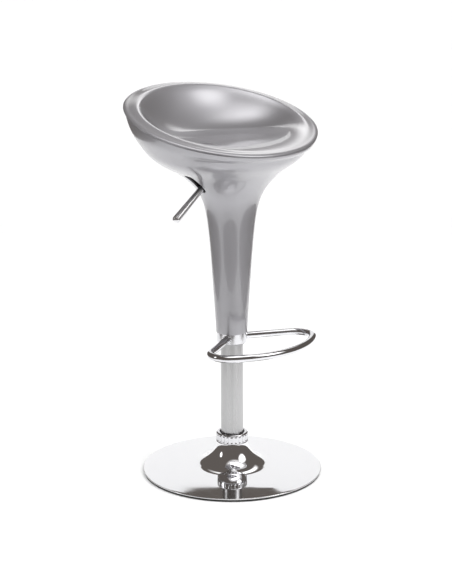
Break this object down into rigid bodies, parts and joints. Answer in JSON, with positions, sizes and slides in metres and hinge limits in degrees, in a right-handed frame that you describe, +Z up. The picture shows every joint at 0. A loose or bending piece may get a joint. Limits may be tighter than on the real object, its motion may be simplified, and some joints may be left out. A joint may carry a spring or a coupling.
{
  "type": "pedicure stool",
  "caption": "Height-adjustable swivel stool with a moulded bucket seat on a flared bell, release lever, looped footrest, gas-spring column and round chrome base.",
  "frame": {"origin": "on the floor, at the centre of the round base, under the column's centre line", "axes": "+Z up; the sitter faces -Y; +X is to the sitter's left, so the release lever is at -X"},
  "size_m": [0.4682, 0.4, 0.853],
  "materials": {
    "shell_silver": "glossy metallic silver-grey moulded ABS",
    "chrome": "polished chrome plate",
    "column_satin": "satin chrome plate, drawn along the tube",
    "lever_satin": "satin silver",
    "zinc_steel": "zinc-plated steel",
    "bearing_steel": "ground bearing steel",
    "black_steel": "black powder coat",
    "black_rubber": "matte black rubber",
    "grey_nylon": "light grey nylon",
    "brass": "plain brass"
  },
  "bodies": {
    "base": {"base_disc": "chrome", "floor_ring": "black_rubber", "base_socket": "black_steel", "base_gussets": "black_steel", "base_collar_ring": "chrome", "column_tube": "column_satin", "column_end_disc": "black_steel", "column_guide_bush": "grey_nylon", "lower_thrust_race": "bearing_steel"},
    "ball_cage": {"bearing_cage": "grey_nylon", "bearing_balls": "bearing_steel"},
    "rod": {"piston_rod": "bearing_steel", "piston_head": "bearing_steel", "piston_seal": "black_rubber", "piston_nut": "zinc_steel", "upper_thrust_race": "bearing_steel", "rod_retaining_clip": "zinc_steel", "bump_stop": "black_rubber"},
    "seat": {"gas_cylinder": "black_steel", "cylinder_gland": "brass", "valve_body": "brass", "taper_hub": "black_steel", "hub_bridge": "black_steel", "seat_plate": "black_steel", "lever_bracket": "black_steel", "lever_pin": "zinc_steel", "lever_pin_clips": "zinc_steel", "seat_shell": "shell_silver", "bell_shell": "shell_silver", "seat_inserts": "brass", "seat_screws": "zinc_steel", "seat_washers": "zinc_steel", "guide_sleeve": "black_steel", "column_slide_bush": "grey_nylon", "footrest_loop": "chrome", "footrest_collar": "chrome", "collar_grub_screws": "zinc_steel"},
    "lever": {"lever_rod": "zinc_steel", "lever_grip": "lever_satin"},
    "valve": {"valve_pin": "bearing_steel"}
  },
  "joints": [
    {"name": "swivel", "type": "hinge", "parent": "base", "child": "rod", "pos_m": [0, 0, 0.0205], "axis": [0, 0, 1], "continuous": true},
    {"name": "bearing_roll", "type": "hinge", "parent": "base", "child": "ball_cage", "pos_m": [0, 0, 0.0205], "axis": [0, 0, 1], "continuous": true},
    {"name": "height", "type": "slide", "parent": "rod", "child": "seat", "axis": [0, 0, 1], "range_m": [-0.2, 0]},
    {"name": "release_lever", "type": "hinge", "parent": "seat", "child": "lever", "pos_m": [-0.03, 0, 0.682], "axis": [0, 1, 0], "range_deg": [0, 5.5], "stiffness_Nm_per_rad": 2, "springref_deg": -5.73},
    {"name": "valve_travel", "type": "slide", "parent": "seat", "child": "valve", "axis": [0, 0, -1], "range_m": [0, 0.003]}
  ],
  "couplings": [
    {"joint": "bearing_roll", "follows": "swivel", "ratio": 0.5},
    {"joint": "valve_travel", "follows": "release_lever", "m_per_rad": 0.03}
  ]
}
